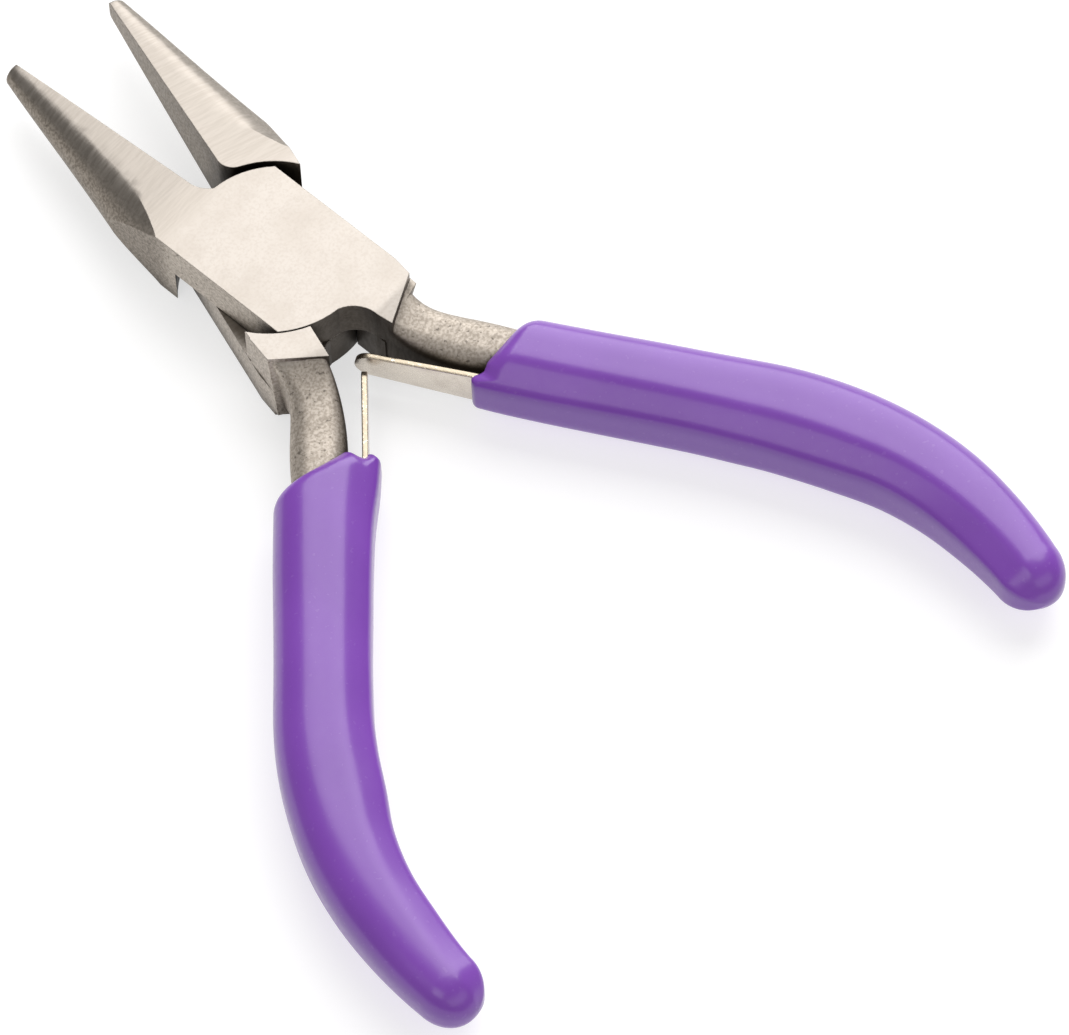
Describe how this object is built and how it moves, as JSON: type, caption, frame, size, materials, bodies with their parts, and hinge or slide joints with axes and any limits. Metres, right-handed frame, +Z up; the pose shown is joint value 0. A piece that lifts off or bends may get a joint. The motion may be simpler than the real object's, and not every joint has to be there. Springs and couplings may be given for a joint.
{
  "type": "chain-nose pliers",
  "caption": "Slim spring-opened jewellery pliers with tapered half-round jaws, a lap joint and dipped sleeves on bent-back handles.",
  "frame": {"origin": "pivot pin's axis, in the plane that the pliers lie on", "axes": "+Z up along the pivot pin, +Y along the middle of the open jaws towards their tips, +X towards the handle of the upper lever"},
  "size_m": [0.0772, 0.1087, 0.0088],
  "materials": {
    "steel": "satin ground flats, darker tumbled sides",
    "pin_steel": "satin",
    "spring_steel": "rolled strip",
    "grip": "glossy dipped vinyl, purple"
  },
  "bodies": {
    "lever_a_body": {"lever_a": "steel", "pivot_pin": "pin_steel", "grip_a": "grip", "leaf_root_a": "spring_steel"},
    "lever_b_body": {"lever_b": "steel", "grip_b": "grip", "leaf_root_b": "spring_steel"},
    "blade_a": {"leaf_spring_a": "spring_steel"},
    "blade_b": {"leaf_spring_b": "spring_steel"}
  },
  "joints": [
    {"name": "jaw_pivot", "type": "hinge", "parent": "lever_a_body", "child": "lever_b_body", "pos_m": [0, 0, 0], "axis": [0, 0, 1], "range_deg": [0, 19], "stiffness_Nm_per_rad": 0.6, "springref_deg": -5.73},
    {"name": "blade_a_flex", "type": "hinge", "parent": "lever_a_body", "child": "blade_a", "pos_m": [0.00652, -0.0221, 0.0044], "axis": [0, 0, -1], "range_deg": [0, 12.4]},
    {"name": "blade_b_flex", "type": "hinge", "parent": "lever_b_body", "child": "blade_b", "pos_m": [-0.00608, -0.02243, 0.0044], "axis": [0, 0, 1], "range_deg": [0, 15.44]}
  ],
  "couplings": [
    {"joint": "blade_a_flex", "follows": "jaw_pivot", "ratio": 0.65},
    {"joint": "blade_b_flex", "follows": "jaw_pivot", "ratio": 0.81}
  ]
}
